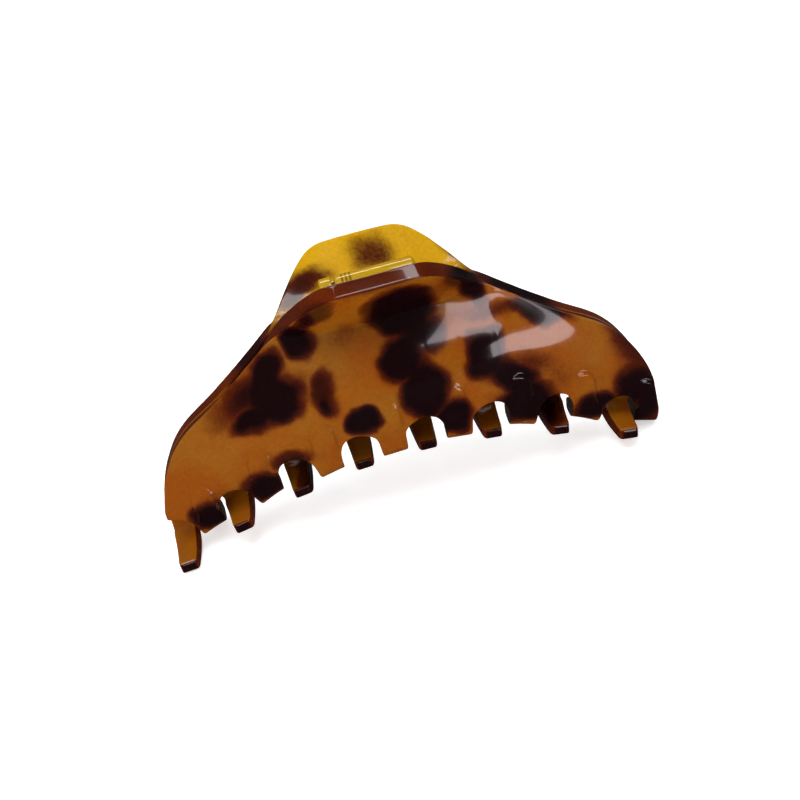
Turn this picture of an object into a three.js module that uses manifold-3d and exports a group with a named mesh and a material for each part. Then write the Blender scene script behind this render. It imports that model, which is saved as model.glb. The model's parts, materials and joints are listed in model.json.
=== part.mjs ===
// Claw clip: two identical toothed jaws cut from thick sheet and bent to shape, hinged between
// their handles on a steel pin, with a torsion spring hidden in the hinge barrel.
// Millimetres, +Z up, X along the clip, the front jaw on the -Y side, standing on its tooth tips.
import * as THREE from "three";
import { mergeVertices } from "three/addons/utils/BufferGeometryUtils.js";
import Module from "manifold-3d";

// Jaw outline, measured on the flat elevation (X, Z) above the tooth-tip datum
const HALF_LENGTH = 48.4;
const HANDLE_TOP = 48.3;
const HANDLE_HALF_FLAT = 7.0;
const HANDLE_RISE = 11.0;
const SHOULDER_HEIGHT = 28.9;
const ROOT_HEIGHT = 18.4;
const ROOT_DROP = 13.4;

// Sheet and bend
const SHEET = 3.0;
const RIM_GAP = 0.25;
const BULGE = 8.0;
const FLARE_SLOPE = 1.25;
const FLARE_ROUND = 2.2;
const NECK_ROUND = 0.1;
const NECK_RISE = 2.2;
const HANDLE_REACH = 18;

// Teeth
const TEETH = 8;
const PITCH = 12.5;
const TOOTH_ROOT_WIDTH = 5.2;
const TOOTH_TIP_WIDTH = 3.7;
const TOOTH_TIP_THICKNESS = 2.1;
const TIP_REACH = 5.9;
const TIP_REACH_GAIN = 4.0;
const TIP_RISE = 10.0;
const PAD_RISE = 0.5;
const PAD_ABOVE_ROOT = 2.2;
const END_TRIM = 0.8;
const END_CLEARANCE = 2.6;

// Hinge
const PIVOT_RISE = 5.3;
const BARREL_RADIUS = 2.6;
const BARREL_LENGTH = 15.2;
const KNUCKLE_LENGTH = 2.5;
const KNUCKLE_GAP = 0.4;
const PIN_RADIUS = 0.6;
const PIN_CLEARANCE = 0.1;
const WEB_REACH = 7.6;
const BOND_GAP = 0.3;

// Spring
const WIRE_RADIUS = 0.3;
const COIL_CLEARANCE = 0.22;
const BARREL_WALL = 0.65;
const COIL_TURNS = 6.5;
const COIL_PITCH = 0.98;
const LEG_LENGTH = 1.9;
const LEG_BEND = 0.6;
const LEG_CLEARANCE = 0.2;

const NECK_HEIGHT = HANDLE_TOP - HANDLE_RISE;
const PIVOT_HEIGHT = NECK_HEIGHT + PIVOT_RISE;
const HALF_PITCH = PITCH / 2;
const ROW_HALF = HALF_PITCH * (TEETH - 0.5);
const GAP_WIDTH = PITCH - TOOTH_ROOT_WIDTH;

const wasm = await Module();
wasm.setup();

// A solid for joining and cutting, from any closed geometry
function solid(geometry) {
  const bare = geometry.clone();
  bare.deleteAttribute("normal");
  bare.deleteAttribute("uv");
  const merged = mergeVertices(bare, 1e-4);
  const mesh = new wasm.Mesh({
    numProp: 3,
    vertProperties: new Float32Array(merged.attributes.position.array),
    triVerts: new Uint32Array(merged.index.array),
  });
  return new wasm.Manifold(mesh);
}

// A geometry again, from a solid
function geometryOf(body) {
  const mesh = body.getMesh();
  const geometry = new THREE.BufferGeometry();
  geometry.setAttribute("position", new THREE.BufferAttribute(new Float32Array(mesh.vertProperties), 3));
  geometry.setIndex(new THREE.BufferAttribute(new Uint32Array(mesh.triVerts), 1));
  geometry.computeVertexNormals();
  return geometry;
}

// A box whose grid is laid onto a curved shape: place(u, v, w) gets three numbers from 0 to 1
function moulded(columns, rows, layers, place) {
  const geometry = new THREE.BoxGeometry(1, 1, 1, columns, rows, layers);
  const position = geometry.attributes.position;
  for (let i = 0; i < position.count; i += 1) {
    const point = place(position.getX(i) + 0.5, position.getY(i) + 0.5, position.getZ(i) + 0.5);
    position.setXYZ(i, point.x, point.y, point.z);
  }
  return geometry;
}

// Upper outline of a jaw: wing end, shoulder, handle side and rounded handle top
const shoulderX = HALF_LENGTH * 0.66;
const upperHalf = [
  [0, HANDLE_TOP],
  [HANDLE_HALF_FLAT * 0.6, HANDLE_TOP],
  [HANDLE_HALF_FLAT + 1.2, HANDLE_TOP - 0.2],
  [HANDLE_HALF_FLAT + 4.3, HANDLE_TOP - 1.5],
  [HANDLE_HALF_FLAT + 9.2, NECK_HEIGHT + 5.3],
  [HANDLE_HALF_FLAT + 16.0, NECK_HEIGHT - 2.0],
  [shoulderX, SHOULDER_HEIGHT],
  [HALF_LENGTH - 7.4, SHOULDER_HEIGHT - 5.6],
  [HALF_LENGTH - 2.8, SHOULDER_HEIGHT - 11.4],
  [HALF_LENGTH - 0.4, SHOULDER_HEIGHT - 16.9],
  [HALF_LENGTH, SHOULDER_HEIGHT - 19.4],
];

function mirroredCurve(half) {
  const right = half.map(([x, z]) => new THREE.Vector2(x, z));
  const left = half.slice(1).reverse().map(([x, z]) => new THREE.Vector2(-x, z));
  return new THREE.SplineCurve([...left, ...right]);
}

const upperCurve = mirroredCurve(upperHalf);
const upperSamples = upperCurve.getSpacedPoints(240);

// Height of the upper outline at a place along the clip
function upperHeight(x) {
  const across = THREE.MathUtils.clamp(x, -HALF_LENGTH, HALF_LENGTH);
  let index = 1;
  while (index < upperSamples.length - 1 && upperSamples[index].x < across) index += 1;
  const a = upperSamples[index - 1];
  const b = upperSamples[index];
  const share = THREE.MathUtils.clamp((across - a.x) / Math.max(b.x - a.x, 1e-6), 0, 1);
  return a.y + (b.y - a.y) * share;
}

// Height of the arch tops between the teeth
function rootHeight(x) {
  const share = x / ROW_HALF;
  return ROOT_HEIGHT - ROOT_DROP * share * share;
}

function softPositive(value, round) {
  return 0.5 * (value + Math.sqrt(value * value + round * round));
}

// Distance from the closing plane to a jaw's inner face: flared handle, pinched neck, bulged body
function innerFace(x, z) {
  const lift = NECK_RISE * (x / HANDLE_REACH) ** 2;
  const fade = 1 / (1 + (Math.abs(x) / (HANDLE_REACH + 8)) ** 8);
  const flare = FLARE_SLOPE * softPositive(z - NECK_HEIGHT - lift, FLARE_ROUND);
  const rim = upperHeight(x);
  const neck = rim - softPositive(rim - NECK_HEIGHT, 3);
  const depth = softPositive(neck - rootHeight(x) - 8, 2) + 8;
  const down = softPositive((neck - z) / depth, NECK_ROUND);
  const along = Math.cos((Math.PI / 2) * Math.min(Math.abs(x) / HALF_LENGTH, 1)) ** 1.8;
  const bulge = BULGE * along * Math.sin(Math.min(2.0 * down, 2.3));
  return RIM_GAP + fade * flare + bulge;
}

// A point through the sheet's thickness, measured square to its inner face
function sheetPoint(x, z, through) {
  const step = 0.2;
  const slopeX = (innerFace(x + step, z) - innerFace(x - step, z)) / (2 * step);
  const slopeZ = (innerFace(x, z + step) - innerFace(x, z - step)) / (2 * step);
  const length = Math.hypot(1, slopeX, slopeZ);
  return new THREE.Vector3(
    x - (slopeX / length) * through,
    -(innerFace(x, z) + through / length),
    z - (slopeZ / length) * through,
  );
}

// The bent plate between the upper outline and a line just under the arch tops;
// spare rows carry it past both lines for use as a cutter
function plate(inner, outer, spare) {
  const rows = 12;
  const lowerHalf = [];
  for (let k = 0; k <= 10; k += 1) {
    const x = (HALF_LENGTH - 1.0) * (k / 10);
    lowerHalf.push([x, rootHeight(x) - 3.2]);
  }
  lowerHalf.push([HALF_LENGTH - 0.1, rootHeight(HALF_LENGTH) - 1.0]);
  const lowerCurve = mirroredCurve(lowerHalf);
  return moulded(56, rows + 2 * spare, 1, (u, v, w) => {
    const low = lowerCurve.getPointAt(u);
    const high = upperCurve.getPointAt(u);
    const share = (v * (rows + 2 * spare) - spare) / rows;
    const x = low.x + (high.x - low.x) * share;
    const z = low.y + (high.y - low.y) * share;
    return sheetPoint(x, z, inner + (outer - inner) * w);
  });
}

// Centre line of a tooth in its own Y-Z plane, from the sheet to the tip
function toothPath(x) {
  const share = x / ROW_HALF;
  const start = sheetPoint(x, rootHeight(x) + PAD_ABOVE_ROOT, SHEET / 2);
  const low = rootHeight(x) - 1.0;
  const root = sheetPoint(x, low, SHEET / 2);
  const tip = new THREE.Vector3(x, TIP_REACH + TIP_REACH_GAIN * share * share, TIP_RISE * (1 - share * share));
  const path = new THREE.CurvePath();
  path.add(new THREE.LineCurve3(new THREE.Vector3(x, start.y, start.z), new THREE.Vector3(x, root.y, root.z)));
  path.add(new THREE.CubicBezierCurve3(
    new THREE.Vector3(x, root.y, root.z),
    new THREE.Vector3(x, root.y - 0.1, root.z - 0.62 * (root.z - tip.z) - 1.2),
    new THREE.Vector3(x, root.y + 4.2, tip.z + 0.1),
    tip,
  ));
  return path;
}

// One tooth: a bar bent along its path, with a low round-topped pad where it leaves the sheet
function tooth(x, rootWidth) {
  const path = toothPath(x);
  const rows = 14;
  const padRows = 3;
  return moulded(2, rows, 1, (u, v, w) => {
    const row = Math.round((1 - v) * rows);
    const padLength = PAD_ABOVE_ROOT + 1.0;
    const length = path.getLength();
    const round = Math.min(row / padRows, 1);
    const turn = Math.sin(round * Math.PI / 2);
    const padShare = (1 - Math.cos(round * Math.PI / 2)) * Math.min(padLength / length, 0.3);
    const share = row <= padRows ? padShare : padShare + (1 - padShare) * ((row - padRows) / (rows - padRows));
    const point = path.getPointAt(share);
    const ahead = path.getTangentAt(Math.min(share, 0.9999));
    const away = new THREE.Vector3(0, ahead.z, -ahead.y);
    const width = (rootWidth + (TOOTH_TIP_WIDTH - rootWidth) * share) * (0.3 + 0.7 * turn);
    const thick = SHEET + (TOOTH_TIP_THICKNESS - SHEET) * share;
    const pad = PAD_RISE * (1 - share);
    const offset = (w - 0.5) * thick + (w > 0.5 ? pad : 0.4 * (1 - share));
    return new THREE.Vector3(
      x + (u - 0.5) * width,
      point.y + away.y * offset,
      point.z + away.z * offset,
    );
  });
}

// The slot between two tooth sides, with a round arch at its top
function slot(from, to, top) {
  const half = (to - from) / 2;
  const x = (from + to) / 2;
  const arch = Math.min(half, GAP_WIDTH / 2) * 0.9;
  const shape = new THREE.Shape();
  shape.moveTo(x - half, -20);
  shape.lineTo(x + half, -20);
  shape.lineTo(x + half, top - arch);
  shape.absellipse(x, top - arch, half, arch, 0, Math.PI, false, 0);
  shape.lineTo(x - half, -20);
  const geometry = new THREE.ExtrudeGeometry(shape, { depth: 60, bevelEnabled: false, curveSegments: 5 });
  geometry.rotateX(Math.PI / 2);
  geometry.translate(0, 30, 0);
  return geometry;
}

// Places of the front jaw's teeth along the clip: the last tooth sits flush with the wing's end
const toothPlaces = [];
for (let k = 0; k < TEETH; k += 1) {
  toothPlaces.push(-ROW_HALF + HALF_PITCH * (2 * k + 1));
}
toothPlaces[TEETH - 1] = HALF_LENGTH - 0.2 - TOOTH_ROOT_WIDTH / 2 + END_TRIM / 2;

// One jaw: the plate, a slot on the left of each tooth, and the teeth
function jawSolid() {
  let body = solid(plate(0, SHEET, 0));
  toothPlaces.forEach((x, k) => {
    const to = x - (TOOTH_ROOT_WIDTH - (k === TEETH - 1 ? END_TRIM : 0)) / 2;
    if (k === 0) {
      const top = rootHeight(ROW_HALF) + END_CLEARANCE;
      body = body.subtract(solid(slot(-2 * HALF_LENGTH - to, to, top)));
    } else {
      const from = toothPlaces[k - 1] + TOOTH_ROOT_WIDTH / 2;
      body = body.subtract(solid(slot(from, to, rootHeight((from + to) / 2))));
    }
  });
  toothPlaces.forEach((x, k) => {
    const trim = k === TEETH - 1 ? END_TRIM : 0;
    body = body.add(solid(tooth(x, TOOTH_ROOT_WIDTH - trim)));
  });
  return body;
}

// Lift that puts the lowest tooth tip on the ground
const jawGeometry = geometryOf(jawSolid());
jawGeometry.computeBoundingBox();
const LIFT = -jawGeometry.boundingBox.min.z;

// Everything a hinge piece must stay clear of on its own jaw: the sheet and the bond line
function sheetRelief() {
  return solid(plate(-BOND_GAP, SHEET + 1, 1));
}

// A cylinder along X, from one end to the other, standing off the hinge axis by (y, z)
function rod(radius, from, to, y, z, sides) {
  const geometry = new THREE.CylinderGeometry(radius, radius, to - from, sides);
  geometry.rotateZ(Math.PI / 2);
  geometry.translate((from + to) / 2, y, PIVOT_HEIGHT + z);
  return geometry;
}

// The web that carries a knuckle from the bottom of the handle's flare, on the front side
function web(from, to) {
  const shape = new THREE.Shape();
  shape.moveTo(-0.6, -BARREL_RADIUS - 2.0);
  shape.lineTo(0.4, -BARREL_RADIUS + 0.4);
  shape.lineTo(-0.2, 0.6);
  shape.lineTo(-BARREL_RADIUS + 0.5, 1.0);
  shape.lineTo(-WEB_REACH, -0.6);
  shape.lineTo(-WEB_REACH + 4.0, -BARREL_RADIUS - 2.0);
  shape.closePath();
  const geometry = new THREE.ExtrudeGeometry(shape, { depth: to - from, bevelEnabled: false });
  geometry.rotateY(Math.PI / 2);
  geometry.rotateX(Math.PI / 2);
  geometry.translate(from, 0, PIVOT_HEIGHT);
  return geometry;
}

// Hinge stations along X
const hingeLength = KNUCKLE_LENGTH + KNUCKLE_GAP + BARREL_LENGTH;
const knuckleFrom = -hingeLength / 2;
const knuckleTo = knuckleFrom + KNUCKLE_LENGTH;
const barrelFrom = knuckleTo + KNUCKLE_GAP;
const barrelTo = barrelFrom + BARREL_LENGTH;
const boreRadius = BARREL_RADIUS - BARREL_WALL;
const coilRadius = boreRadius - COIL_CLEARANCE - WIRE_RADIUS;
const coilFrom = barrelFrom + 0.5;
const coilTo = coilFrom + COIL_TURNS * COIL_PITCH;
const boreTo = coilTo + LEG_BEND + 0.3;
const legHole = WIRE_RADIUS + LEG_CLEARANCE;
const pinFrom = knuckleFrom + 0.3;
const pinTo = barrelTo - 1.6;

// Rounded-end barrel profile, turned about X
function barrelBody(from, to, round) {
  const profile = [new THREE.Vector2(0, 0), new THREE.Vector2(BARREL_RADIUS - round, 0)];
  for (let k = 1; k <= 3; k += 1) {
    const angle = (k / 3) * (Math.PI / 2);
    profile.push(new THREE.Vector2(
      BARREL_RADIUS - round + round * Math.sin(angle),
      round - round * Math.cos(angle),
    ));
  }
  for (let k = 0; k <= 3; k += 1) {
    const angle = (k / 3) * (Math.PI / 2);
    profile.push(new THREE.Vector2(
      BARREL_RADIUS - round + round * Math.cos(angle),
      to - from - round + round * Math.sin(angle),
    ));
  }
  profile.push(new THREE.Vector2(0, to - from));
  const geometry = new THREE.LatheGeometry(profile, 28);
  geometry.rotateZ(-Math.PI / 2);
  geometry.translate(from, 0, PIVOT_HEIGHT);
  return geometry;
}

// Long barrel on the front jaw: bore for the coil, running bore for the pin, hole for a spring leg
function barrelSolid() {
  let body = solid(barrelBody(barrelFrom, barrelTo, 0.8));
  body = body.add(solid(web(barrelFrom + 0.9, barrelTo - 0.9)).subtract(sheetRelief()));
  body = body.subtract(solid(rod(boreRadius, barrelFrom - 1, boreTo, 0, 0, 28)));
  body = body.subtract(solid(rod(PIN_RADIUS + PIN_CLEARANCE, barrelFrom, pinTo + 0.4, 0, 0, 16)));
  const legEnd = new SpringPath().getPoint(1);
  const legY = legEnd.y;
  const legZ = legEnd.z - PIVOT_HEIGHT;
  body = body.subtract(solid(rod(legHole, boreTo - 0.4, legEnd.x + 0.3, legY, legZ, 12)));
  return body;
}

// Short knuckle on the back jaw, turned half round to face its own sheet
function knuckleSolid() {
  let carrier = solid(web(-knuckleTo + 0.25, -knuckleFrom - 0.25)).subtract(sheetRelief());
  carrier = solid(geometryOf(carrier).rotateZ(Math.PI));
  let body = solid(barrelBody(knuckleFrom, knuckleTo, 0.5)).add(carrier);
  body = body.subtract(solid(rod(PIN_RADIUS + PIN_CLEARANCE, knuckleFrom - 1, knuckleTo + 1, 0, 0, 16)));
  const legStart = new SpringPath().getPoint(0);
  body = body.subtract(solid(rod(legHole, legStart.x - 0.3, knuckleTo + 1, 0, coilRadius, 12)));
  return body;
}

// Centre line of the spring: a leg along X, the coil, and a leg along X at the other end
class SpringPath extends THREE.Curve {
  constructor() {
    super();
    const lead = Math.atan2(COIL_PITCH, 2 * Math.PI * coilRadius);
    const bend = (Math.PI / 2 - lead) * LEG_BEND;
    const slope = Math.hypot(COIL_PITCH, 2 * Math.PI * coilRadius) / COIL_PITCH;
    this.parts = [LEG_LENGTH, bend, (coilTo - coilFrom) * slope, bend, LEG_LENGTH];
    this.total = this.parts.reduce((sum, part) => sum + part, 0);
    this.lead = lead;
    this.turnWidth = LEG_BEND * (1 - Math.cos(Math.PI / 2 - lead));
    this.turnRun = LEG_BEND * Math.sin(Math.PI / 2 - lead);
  }

  // Place on the unrolled coil cylinder: distance around it and distance along it
  unrolled(distance) {
    const [leg, bend, coil] = this.parts;
    const start = coilFrom - this.turnRun;
    if (distance <= leg) return [0, start - leg + distance];
    if (distance <= leg + bend) {
      const angle = (distance - leg) / LEG_BEND;
      return [LEG_BEND * (1 - Math.cos(angle)), start + LEG_BEND * Math.sin(angle)];
    }
    if (distance <= leg + bend + coil) {
      const run = distance - leg - bend;
      return [this.turnWidth + run * Math.cos(this.lead), coilFrom + run * Math.sin(this.lead)];
    }
    const [around, along] = this.unrolled(this.total - distance);
    const span = 2 * this.turnWidth + coil * Math.cos(this.lead);
    return [span - around, coilFrom + coilTo - along];
  }

  getPoint(t) {
    const [around, along] = this.unrolled(t * this.total);
    const angle = around / coilRadius;
    return new THREE.Vector3(
      along,
      Math.sin(angle) * coilRadius,
      PIVOT_HEIGHT + Math.cos(angle) * coilRadius,
    );
  }
}

function springGeometry() {
  const section = new THREE.Shape();
  section.absarc(0, 0, WIRE_RADIUS, 0, Math.PI * 2, false);
  const geometry = new THREE.ExtrudeGeometry(section, {
    steps: 110,
    curveSegments: 7,
    bevelEnabled: false,
    extrudePath: new SpringPath(),
  });
  return mergeVertices(geometry, 1e-4);
}

// Colours and finishes
const tortoise = new THREE.MeshStandardMaterial({ color: 0x8a4a14, roughness: 0.15, metalness: 0 });
const amber = new THREE.MeshStandardMaterial({ color: 0xd9a520, roughness: 0.15, metalness: 0 });
const steel = new THREE.MeshStandardMaterial({ color: 0xb8bcc0, roughness: 0.3, metalness: 1 });
const springSteel = new THREE.MeshStandardMaterial({ color: 0x8e9296, roughness: 0.35, metalness: 1 });

const group = new THREE.Group();
group.name = "claw_clip";
group.position.z = LIFT;

function place(name, geometry, material) {
  const mesh = new THREE.Mesh(geometry, material);
  mesh.name = name;
  group.add(mesh);
  return mesh;
}

place("front_jaw", jawGeometry, tortoise);
place("back_jaw", jawGeometry.clone(), tortoise.clone()).rotation.z = Math.PI;
place("hinge_barrel", geometryOf(barrelSolid()), amber);
place("hinge_knuckle", geometryOf(knuckleSolid()), amber.clone());
place("hinge_pin", rod(PIN_RADIUS, pinFrom, pinTo, 0, 0, 16), steel);
place("torsion_spring", springGeometry(), springSteel);

export default group;
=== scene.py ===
"""Claw clip: two hooked tortoiseshell jaws on a sprung hinge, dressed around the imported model."""

import bpy
import json
import math
from bpy.props import FloatProperty, FloatVectorProperty, PointerProperty
from mathutils import Matrix, Vector


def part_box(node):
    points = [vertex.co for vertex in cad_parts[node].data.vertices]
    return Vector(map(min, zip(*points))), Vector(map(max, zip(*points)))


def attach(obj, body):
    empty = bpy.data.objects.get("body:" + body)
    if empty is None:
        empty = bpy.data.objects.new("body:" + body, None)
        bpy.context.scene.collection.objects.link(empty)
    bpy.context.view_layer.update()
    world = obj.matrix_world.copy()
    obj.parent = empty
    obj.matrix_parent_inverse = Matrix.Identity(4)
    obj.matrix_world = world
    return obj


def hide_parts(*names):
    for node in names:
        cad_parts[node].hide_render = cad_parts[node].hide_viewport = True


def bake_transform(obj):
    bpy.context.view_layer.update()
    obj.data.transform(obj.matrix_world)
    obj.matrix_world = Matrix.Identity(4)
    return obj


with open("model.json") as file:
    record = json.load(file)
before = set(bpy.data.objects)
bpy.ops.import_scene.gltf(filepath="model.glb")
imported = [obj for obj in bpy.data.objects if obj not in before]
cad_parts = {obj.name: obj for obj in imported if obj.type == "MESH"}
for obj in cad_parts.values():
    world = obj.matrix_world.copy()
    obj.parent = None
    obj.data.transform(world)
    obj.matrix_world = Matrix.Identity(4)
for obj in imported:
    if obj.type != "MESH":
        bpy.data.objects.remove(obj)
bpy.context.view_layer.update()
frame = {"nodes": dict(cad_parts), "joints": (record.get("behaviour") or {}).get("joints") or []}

bl_info = {
    "name": "Claw Clip",
    "version": (1, 0, 0),
    "blender": (4, 5, 0),
    "location": "View3D > Sidebar > Claw Clip",
    "description": "Models a tortoiseshell claw clip around its packed frame",
    "category": "Add Mesh",
}

MM = 0.001

# Driving sizes of the jaw in millimetres, above the tooth-tip datum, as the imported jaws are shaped
HALF_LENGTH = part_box("front_jaw")[1].x / MM
PIVOT_HEIGHT = 42.6
LIFT = frame["joints"][0]["pos_m"][2] / MM - PIVOT_HEIGHT
HANDLE_TOP = 48.3
HANDLE_HALF_FLAT = 7.0
NECK_HEIGHT = 37.3
SHOULDER_HEIGHT = 28.9
ROOT_HEIGHT = 18.4
ROOT_DROP = 13.4
RIM_GAP = 0.25
BULGE = 8.0
FLARE_SLOPE = 1.25
FLARE_ROUND = 2.2
NECK_ROUND = 0.1
NECK_RISE = 2.2
HANDLE_REACH = 18.0

# Teeth
TEETH = 8
PITCH = 12.5
TOOTH_ROOT_WIDTH = 5.2
TIP_REACH = 5.9
TIP_REACH_GAIN = 4.0
TIP_RISE = 10.0
END_CLEARANCE = 2.6
END_TRIM = 0.8
END_INSET = 0.2
END_DROP = 1.2
ROW_HALF = PITCH / 2 * (TEETH - 0.5)
ARCH_SHARE = 0.9
ARCH_PLACES = (-0.82, -0.57, -0.29, 0, 0.29, 0.57, 0.82)
WING_TURN = 17

# How the teeth narrow and thin from root to tip, and how much painted shade their ends get
ROOT_DEPTH = 1.5
CURVE_FLATTENING = (0.8, 0.72)
TIP_NARROWING = 0.72
TIP_THINNING = 0.75
TIP_SHADE_REACH = 3
TIP_SHADE_LENGTH = 0.9
TIP_SHADE_AT_END = 0.9
TIP_SHADE_MOST = 0.85

# Cage of the sheet before it gets its thickness; the columns are shares of a tooth's width
TOOTH_COLUMNS = (0, 0.1, 0.3, 0.5, 0.7, 0.9, 1)
SHEET_ROWS = 17
EDGE_ROW = 0.5
EDGE_PUSH = 0.85
PAD_HEIGHT = 5.0
PAD_SLOPE = 0.7
PAD_FADE = 2.5
OUTWARD = -0.45
TOOTH_STATIONS = (0.14, 0.28, 0.42, 0.56, 0.7, 0.82, 0.92, 1.0)


class ClipSizes(bpy.types.PropertyGroup):
    """Sizes of the finished clip that a maker would change."""

    sheet: FloatProperty(
        name="Sheet thickness", description="Thickness of the jaws' sheet",
        default=3.0 * MM, unit="LENGTH", subtype="DISTANCE")
    tip_width: FloatProperty(
        name="Tooth tip width", description="Width of a tooth at its tip",
        default=3.45 * MM, unit="LENGTH", subtype="DISTANCE")
    tip_thickness: FloatProperty(
        name="Tooth tip thickness", description="Thickness of a tooth at its tip",
        default=2.1 * MM, unit="LENGTH", subtype="DISTANCE")
    edge_round: FloatProperty(
        name="Edge rounding", description="How far the polished rounding runs in from each edge",
        default=0.5 * MM, unit="LENGTH", subtype="DISTANCE")
    pad_rise: FloatProperty(
        name="Pad height", description="How far the pad at a tooth's root stands proud",
        default=0.55 * MM, unit="LENGTH", subtype="DISTANCE")


class ClipColours(bpy.types.PropertyGroup):
    """Colours of the sheet, the hinge and the steel."""

    amber: FloatVectorProperty(
        name="Amber", description="Light ground of the tortoiseshell",
        default=(0.27, 0.066, 0.003), size=3, min=0.0, max=1.0, subtype="COLOR")
    honey: FloatVectorProperty(
        name="Honey", description="Paler drifts in the amber ground",
        default=(0.28, 0.092, 0.004), size=3, min=0.0, max=1.0, subtype="COLOR")
    rust: FloatVectorProperty(
        name="Rust", description="Soft border of the dark blotches",
        default=(0.07, 0.009, 0.0012), size=3, min=0.0, max=1.0, subtype="COLOR")
    dark: FloatVectorProperty(
        name="Dark", description="Middle of the dark blotches",
        default=(0.006, 0.0008, 0.0014), size=3, min=0.0, max=1.0, subtype="COLOR")
    rim: FloatVectorProperty(
        name="Rim", description="Cut edge of the sheet, where its layers show darker",
        default=(0.13, 0.02, 0.002), size=3, min=0.0, max=1.0, subtype="COLOR")
    # Painted light: yellow glow laid into the back handle's colour near its top, standing in for light
    # coming through the sheet
    handle: FloatVectorProperty(
        name="Handle yellow", description="Back handle, where light comes through",
        default=(0.68, 0.37, 0.0006), size=3, min=0.0, max=1.0, subtype="COLOR")
    hinge: FloatVectorProperty(
        name="Hinge amber", description="Clear plastic of the hinge",
        default=(0.66, 0.4, 0.012), size=3, min=0.0, max=1.0, subtype="COLOR")
    steel: FloatVectorProperty(
        name="Steel", description="Pin and spring wire",
        default=(0.62, 0.62, 0.63), size=3, min=0.0, max=1.0, subtype="COLOR")


# Shape of the bent sheet

def upper_outline():
    """Upper edge of a jaw from its left end to its right end."""
    top, flat, neck = HANDLE_TOP, HANDLE_HALF_FLAT, NECK_HEIGHT
    shoulder, end = SHOULDER_HEIGHT, HALF_LENGTH
    right = [
        (0, top), (flat * 0.6, top), (flat + 1.2, top - 0.2), (flat + 4.3, top - 1.5),
        (flat + 9.2, neck + 5.3), (flat + 16, neck - 2), (0.66 * end, shoulder),
        (end - 7.4, shoulder - 5.6), (end - 2.8, shoulder - 11.4),
        (end - 0.4, shoulder - 16.9), (end, shoulder - 19.4),
    ]
    return [(-x, z) for x, z in reversed(right[1:])] + right


def smooth_curve(points, steps):
    """A Catmull-Rom line through the points, as (x, z) pairs."""
    line = []
    last = len(points) - 1
    for k in range(steps + 1):
        place = last * k / steps
        index = min(int(place), last - 1)
        share = place - index
        near = [points[min(max(index + shift, 0), last)] for shift in (-1, 0, 1, 2)]
        pair = []
        for before, start, end, after in zip(*near):
            leave = (end - before) / 2
            arrive = (after - start) / 2
            cubic = 2 * start - 2 * end + leave + arrive
            square = -3 * start + 3 * end - 2 * leave - arrive
            pair.append(((cubic * share + square) * share + leave) * share + start)
        line.append(tuple(pair))
    return line


UPPER_LINE = smooth_curve(upper_outline(), 480)


def upper_height(x):
    """Height of the upper edge at a place along the clip."""
    across = min(max(x, -HALF_LENGTH), HALF_LENGTH)
    for (left, low), (right, high) in zip(UPPER_LINE, UPPER_LINE[1:]):
        if right >= across:
            share = (across - left) / max(right - left, 1e-9)
            return low + (high - low) * min(max(share, 0), 1)
    return UPPER_LINE[-1][1]


def root_height(x):
    """Height of the arch tops between the teeth."""
    return ROOT_HEIGHT - ROOT_DROP * (x / ROW_HALF) ** 2


def soft_positive(value, rounding):
    """The value where it is positive, running softly to nothing below that."""
    return 0.5 * (value + math.hypot(value, rounding))


def inner_face(x, z):
    """Distance from the closing plane to a jaw's inner face."""
    lift = NECK_RISE * (x / HANDLE_REACH) ** 2
    fade = 1 / (1 + (abs(x) / (HANDLE_REACH + 8)) ** 8)
    flare = FLARE_SLOPE * soft_positive(z - NECK_HEIGHT - lift, FLARE_ROUND)
    rim = upper_height(x)
    neck = rim - soft_positive(rim - NECK_HEIGHT, 3)
    depth = soft_positive(neck - root_height(x) - 8, 2) + 8
    down = soft_positive((neck - z) / depth, NECK_ROUND)
    along = math.cos(math.pi / 2 * min(abs(x) / HALF_LENGTH, 1)) ** 1.8
    return RIM_GAP + fade * flare + BULGE * along * math.sin(min(2 * down, 2.3))


def sheet_point(x, z, through):
    """A point through the front sheet's thickness, square to its inner face."""
    step = 0.2
    slope_x = (inner_face(x + step, z) - inner_face(x - step, z)) / (2 * step)
    slope_z = (inner_face(x, z + step) - inner_face(x, z - step)) / (2 * step)
    length = math.sqrt(1 + slope_x ** 2 + slope_z ** 2)
    return Vector((
        x - slope_x / length * through,
        -(inner_face(x, z) + through / length),
        z - slope_z / length * through,
    ))


def seen_at(x, z, through):
    """The place on the inner face whose point through the sheet shows at (x, z)."""
    place = [x, z]
    for _ in range(4):
        point = sheet_point(place[0], place[1], through)
        place = [place[0] + x - point.x, place[1] + z - point.z]
    return place


# Cage columns: teeth and arches along the lower edge

def tooth_places():
    """Centre and width of each front tooth; the last one ends flush with the wing."""
    places = [(-ROW_HALF + PITCH * (k + 0.5), TOOTH_ROOT_WIDTH) for k in range(TEETH - 1)]
    last_left = HALF_LENGTH - END_INSET + END_TRIM - TOOTH_ROOT_WIDTH
    places.append(((last_left + HALF_LENGTH) / 2, HALF_LENGTH - last_left))
    return places


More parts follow.
